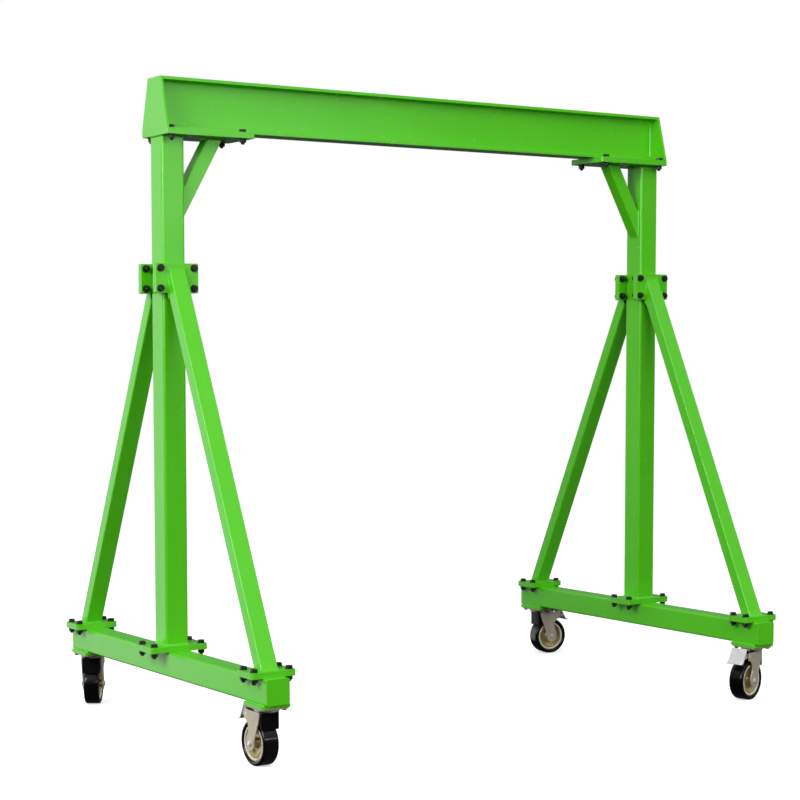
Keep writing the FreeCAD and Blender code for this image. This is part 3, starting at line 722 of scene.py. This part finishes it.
def pedal(corner, place):
    """A pressed brake pedal: steep tread with a lip, side cheeks with a hole, and a barrel on its pin."""
    shape = Shape()
    section = [(102, 231), (105, 231.3), (138.3, 172.5), (140.5, 171), (152.6, 171), (153, 167.6),
               (137.5, 167), (134.5, 168.5)]
    middle = (118, 196)
    rings = []
    for y in (-38, -37.2, 37.2, 38):
        shrink = 0.988 if abs(y) == 38 else 1
        rings.append([(middle[0] + (x - middle[0]) * shrink, y, middle[1] + (z - middle[1]) * shrink)
                      for x, z in section])
    shape.loops([[(x * MM, y * MM, z * MM) for x, y, z in ring] for ring in rings], place)
    for k in range(4):
        t = 0.2 + 0.2 * k
        x, z = 104.6 + 33.7 * t, 230 - 57.5 * t
        down, out = Vector((0.49, 0, -0.872)), Vector((0.872, 0, 0.49))
        rib = place @ axes(Vector((0, 1, 0)), down, out, Vector((x, 0, z)) * MM)
        ridge = [[(s * 31 * MM, -1.8 * MM, -0.6 * MM), (s * 31 * MM, -0.8 * MM, 0.9 * MM),
                  (s * 31 * MM, 0.8 * MM, 0.9 * MM), (s * 31 * MM, 1.8 * MM, -0.6 * MM)] for s in (-1, 1)]
        shape.loops(ridge, rib)
    knots = [
        (84, 190, 0), (76.5, 194, 0), (76.5, 200, 0), (84, 204.5, 0), (101, 214, 0), (107, 225, 1),
        (133, 179, 1), (118, 184, 0), (100, 188, 0),
    ]
    cheek = smooth_outline([(x * MM, z * MM, sharp) for x, z, sharp in knots])
    for way in (-1, 1):
        side = place @ upright_sheet(way * 32 * MM)
        sheet_metal(shape, [cheek, circle(109 * MM, 200 * MM, 5 * MM)], 3 * MM, 0.6 * MM, side)
    lathe = turned_about_axle(place, Vector((PIN_OUT, 0, PIN_UP)) * MM)
    barrel = [(5.5 * MM, -32 * MM), (6.5 * MM, -31 * MM), (6.5 * MM, 31 * MM), (5.5 * MM, 32 * MM)]
    shape.lathe(barrel, lathe, 24)
    shape.lathe([(3 * MM, -44 * MM), (4 * MM, -43 * MM), (4 * MM, 43 * MM), (3 * MM, 44 * MM)], lathe, 20)
    made = shape.piece(f"{corner}_pedal", [BRIGHT], f"{corner}_brake_pedal", "zinc_steel", 32)
    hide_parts(f"{corner}_caster_brake_pedal")


# ---------------------------------------------------------------- stage

def stage_mesh(name, points, faces, material):
    """A part of the studio that lights nothing by itself."""
    mesh = bpy.data.meshes.new(name)
    mesh.from_pydata(points, [], faces)
    mesh.materials.append(material)
    thing = bpy.data.objects.new(name, mesh)
    bpy.context.scene.collection.objects.link(thing)
    thing.visible_diffuse = False
    thing.visible_glossy = False
    return thing


def white_wall():
    """Plain white surround, far behind the floor."""
    material = bpy.data.materials.new("white_wall")
    material.use_nodes = True
    tree = material.node_tree
    tree.nodes.remove(tree.nodes["Principled BSDF"])
    glow = add(tree, "ShaderNodeEmission")
    tree.links.new(glow.outputs["Emission"], tree.nodes["Material Output"].inputs["Surface"])
    return material


def light(name, place, target, size, energy):
    lamp = bpy.data.lights.new(name, "AREA")
    lamp.shape = "RECTANGLE"
    lamp.size, lamp.size_y = size
    lamp.energy = energy
    thing = bpy.data.objects.new(name, lamp)
    thing.location = place
    thing.rotation_euler = (Vector(target) - Vector(place)).to_track_quat("-Z", "Y").to_euler()
    bpy.context.scene.collection.objects.link(thing)
    return thing


def lobe(tree, where, direction, start, full, radiance):
    """A soft bright patch of sky round a direction."""
    dot = add(tree, "ShaderNodeVectorMath", operation="DOT_PRODUCT")
    tree.links.new(where, dot.inputs[0])
    dot.inputs[1].default_value = Vector(direction).normalized()
    fade = add(tree, "ShaderNodeMapRange", interpolation_type="SMOOTHSTEP")
    for name, value in (("From Min", start), ("From Max", full), ("To Max", radiance)):
        fade.inputs[name].default_value = value
    tree.links.new(dot.outputs["Value"], fade.inputs["Value"])
    return fade.outputs["Result"]


def studio():
    turns = [math.tau * i / 96 for i in range(96)]
    low = [(WALL * math.cos(t), WALL * math.sin(t), 0) for t in turns]
    high = [(x, y, WALL) for x, y, _ in low]
    stage_mesh("floor", low, [tuple(range(96))], floor_paint())
    sides = [(i, (i + 1) % 96, 96 + (i + 1) % 96, 96 + i) for i in range(96)]
    wall = stage_mesh("wall", low + high, sides + [tuple(range(96, 192))], white_wall())
    wall.visible_shadow = False
    world = bpy.data.worlds.new("studio")
    world.use_nodes = True
    bpy.context.scene.world = world
    tree = world.node_tree
    background = tree.nodes["Background"]
    where = add(tree, "ShaderNodeTexCoord").outputs["Generated"]
    total = None
    for patch in SKY:
        light_here = lobe(tree, where, *patch)
        if total:
            both = add(tree, "ShaderNodeMath", operation="ADD")
            tree.links.new(total, both.inputs[0])
            tree.links.new(light_here, both.inputs[1])
            light_here = both.outputs["Value"]
        total = light_here
    tree.links.new(total, background.inputs["Color"])
    light("key", (-8, -2.5, 4), (-0.5, 0, 1.3), (4, 4), 560)
    front = light("front", (0.3, -8.2, 4.9), (-0.4, 0, 1.4), (7, 6), 305)
    front.visible_glossy = False
    light("strip", (-1, -8, 3.05), (-0.4, 0, 0.2), (13, 0.14), 150)


def camera():
    """The photograph's viewpoint: just below the collar's height, off the left front."""
    data = bpy.data.cameras.new("camera")
    data.sensor_width = 36
    data.lens = 84.93
    data.shift_x, data.shift_y = 0.0986, 0.1042
    data.clip_end = 200
    thing = bpy.data.objects.new("camera", data)
    yaw, pitch, roll = 0.57445, -0.07294, -0.00356
    ahead = Vector((math.sin(yaw) * math.cos(pitch), math.cos(yaw) * math.cos(pitch), math.sin(pitch)))
    right = Vector((math.cos(yaw), -math.sin(yaw), 0))
    up = right.cross(ahead)
    across = right * math.cos(roll) + up * math.sin(roll)
    upward = up * math.cos(roll) - right * math.sin(roll)
    thing.matrix_world = axes(across, upward, -ahead, Vector((-4.8595, -6.6758, 1.5688)))
    bpy.context.scene.collection.objects.link(thing)
    bpy.context.scene.camera = thing


finish_cad()
frame_bolts()
welds()
for name in CORNERS:
    spot = caster_place(name)
    wheels(name, spot)
    fork(name, spot)
    brake_shoe(name, spot)
    race(name, spot)
    pedal(name, spot)
studio()
camera()
bpy.context.scene.view_settings.view_transform = "Standard"
